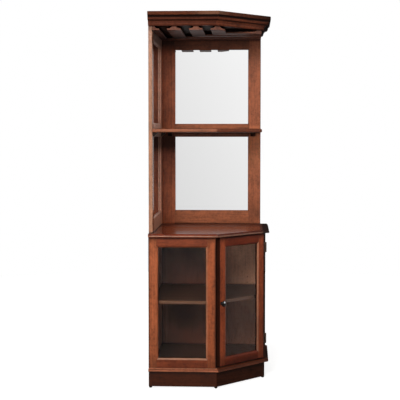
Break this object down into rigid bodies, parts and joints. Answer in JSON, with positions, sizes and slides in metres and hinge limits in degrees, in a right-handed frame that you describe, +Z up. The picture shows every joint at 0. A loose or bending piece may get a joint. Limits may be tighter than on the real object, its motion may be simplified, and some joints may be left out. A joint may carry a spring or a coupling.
{
  "type": "corner bar cabinet",
  "caption": "Corner bar cabinet: glazed base with a hinged door across the corner, mirrored open hutch with a shelf, and a cornice with stemware rails under it.",
  "frame": {"origin": "on the floor under the middle of the cabinet's bounding box", "axes": "+Z up; the back wall of the room is at +Y and the wall on the left at -X; the door across the corner faces +X and -Y at 45 degrees, and the picture looks along +Y"},
  "size_m": [0.62, 0.62, 1.905],
  "materials": {
    "cherry_wood": "stained cherry-coloured hardwood and veneer under a satin lacquer, darker in the corners and grooves",
    "carcase_wood": "dark stained veneered board, flat lacquer",
    "hardboard": "brown hardboard, plain",
    "clear_glass": "clear float glass",
    "silvered_mirror": "silvered flat mirror",
    "dark_bronze": "dark bronze, semi-gloss",
    "zinc_steel": "zinc plated steel",
    "black_plastic": "moulded, matt"
  },
  "bodies": {
    "cabinet": {"adjustable_shelf": "carcase_wood", "back_wall_panel": "carcase_wood", "base_bottom_panel": "carcase_wood", "base_moulding_diagonal": "cherry_wood", "base_moulding_left": "cherry_wood", "base_moulding_right": "cherry_wood", "countertop": "cherry_wood", "crown_moulding_diagonal": "cherry_wood", "crown_moulding_left": "cherry_wood", "crown_moulding_right": "cherry_wood", "crown_top_board": "cherry_wood", "door_header_rail": "carcase_wood", "door_jambs": "carcase_wood", "face_glass_retainers": "carcase_wood", "glides": "black_plastic", "hinge_body_leaves": "dark_bronze", "hinge_body_screws": "zinc_steel", "hinge_pins": "dark_bronze", "hutch_back_corner_stile": "cherry_wood", "hutch_back_front_stile": "cherry_wood", "hutch_back_mirrors": "silvered_mirror", "hutch_back_rails": "cherry_wood", "hutch_left_corner_stile": "cherry_wood", "hutch_left_front_stile": "cherry_wood", "hutch_left_mirrors": "silvered_mirror", "hutch_left_rails": "cherry_wood", "left_face_bottom_rail": "cherry_wood", "left_face_glass": "clear_glass", "left_face_stile_door": "cherry_wood", "left_face_stile_wall": "cherry_wood", "left_face_top_rail": "cherry_wood", "left_wall_panel": "carcase_wood", "magnetic_catch": "black_plastic", "mid_shelf": "cherry_wood", "mirror_backers": "hardboard", "plinth_back_rails": "carcase_wood", "plinth_diagonal": "cherry_wood", "plinth_left": "cherry_wood", "plinth_right": "cherry_wood", "rack_board": "carcase_wood", "right_face_bottom_rail": "cherry_wood", "right_face_glass": "clear_glass", "right_face_stile_door": "cherry_wood", "right_face_stile_wall": "cherry_wood", "right_face_top_rail": "cherry_wood", "shelf_brackets": "dark_bronze", "shelf_pins": "zinc_steel", "stemware_rails_left": "cherry_wood", "stemware_rails_right": "cherry_wood"},
    "door": {"door_latch_stile": "cherry_wood", "door_hinge_stile": "cherry_wood", "door_bottom_rail": "cherry_wood", "door_top_rail": "cherry_wood", "door_glass": "clear_glass", "door_glass_retainers": "carcase_wood", "door_knob": "dark_bronze", "knob_screw": "zinc_steel", "hinge_door_leaves": "dark_bronze", "hinge_door_screws": "zinc_steel", "catch_strike_plate": "zinc_steel"}
  },
  "joints": [
    {"name": "door_hinge", "type": "hinge", "parent": "cabinet", "child": "door", "pos_m": [0.2875, -0.0425, 0.435], "axis": [0, 0, 1], "range_deg": [0, 180]}
  ]
}
